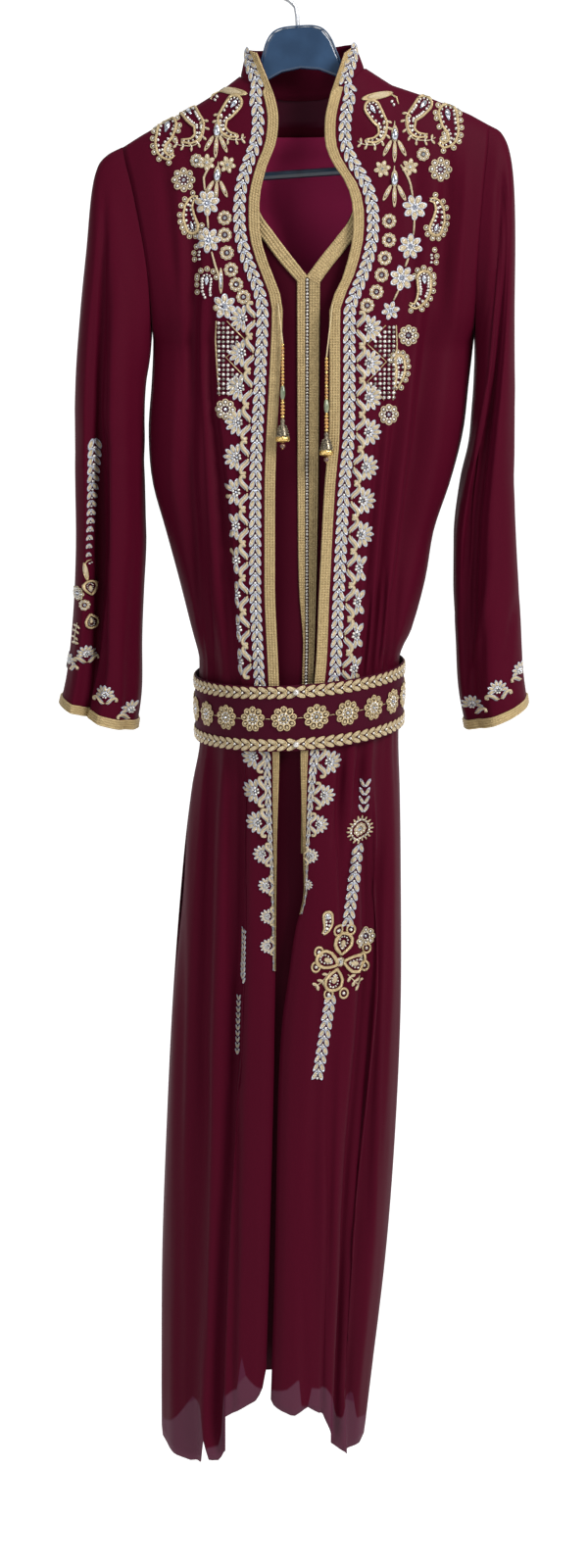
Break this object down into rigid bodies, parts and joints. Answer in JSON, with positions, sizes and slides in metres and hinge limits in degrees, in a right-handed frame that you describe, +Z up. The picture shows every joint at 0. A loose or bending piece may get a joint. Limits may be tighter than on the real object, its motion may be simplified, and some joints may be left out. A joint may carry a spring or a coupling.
{
  "type": "moroccan kaftan on a coat hanger",
  "caption": "Long open-front robe with stand collar and embroidered trim over an under-dress, belted, hanging on a coat hanger.",
  "frame": {"origin": "the inside top of the hanger's hook, where it hangs", "axes": "+Z up along the garment, -Y the way its front faces, +X towards the wearer's left"},
  "size_m": [0.4906, 0.2184, 1.577],
  "materials": {
    "robe_georgette": "matt crepe georgette, slightly sheer",
    "under_dress_cloth": "smooth satin-backed lining cloth",
    "gold_braid": "knitted gold braid",
    "silver_embroidery": "cream and silver corded embroidery with crystals",
    "crystal_trim": "cut crystals in silver settings",
    "belt_cloth": "embroidered band",
    "hanger_plastic": "satin dark blue plastic",
    "hanger_bar_plastic": "dark blue plastic",
    "hook_steel": "plated wire",
    "tie_thread": "twisted gold thread",
    "glass_beads": "amber and green glass",
    "tassel_metal": "pressed openwork cone and gilt cap"
  },
  "bodies": {
    "root": {"robe_front_right": "robe_georgette", "robe_front_left": "robe_georgette", "robe_back": "robe_georgette", "sleeve_right": "robe_georgette", "sleeve_left": "robe_georgette", "collar": "robe_georgette", "robe_braid_right": "gold_braid", "robe_braid_left": "gold_braid", "robe_chain_right": "silver_embroidery", "robe_chain_left": "silver_embroidery", "cuff_braid_right": "gold_braid", "cuff_braid_left": "gold_braid", "under_dress_front": "under_dress_cloth", "under_dress_back": "under_dress_cloth", "neck_braid_right": "gold_braid", "neck_braid_left": "gold_braid", "centre_braid_right": "gold_braid", "centre_braid_left": "gold_braid", "crystal_row": "crystal_trim", "belt_band": "belt_cloth", "belt_edge_top": "silver_embroidery", "belt_edge_bottom": "silver_embroidery", "tie_right": "tie_thread", "tie_left": "tie_thread", "beads_right": "glass_beads", "beads_left": "glass_beads", "tassel_right": "tassel_metal", "tassel_left": "tassel_metal", "hanger_body": "hanger_plastic", "hanger_bar": "hanger_bar_plastic", "hanger_hook": "hook_steel"}
  },
  "joints": []
}
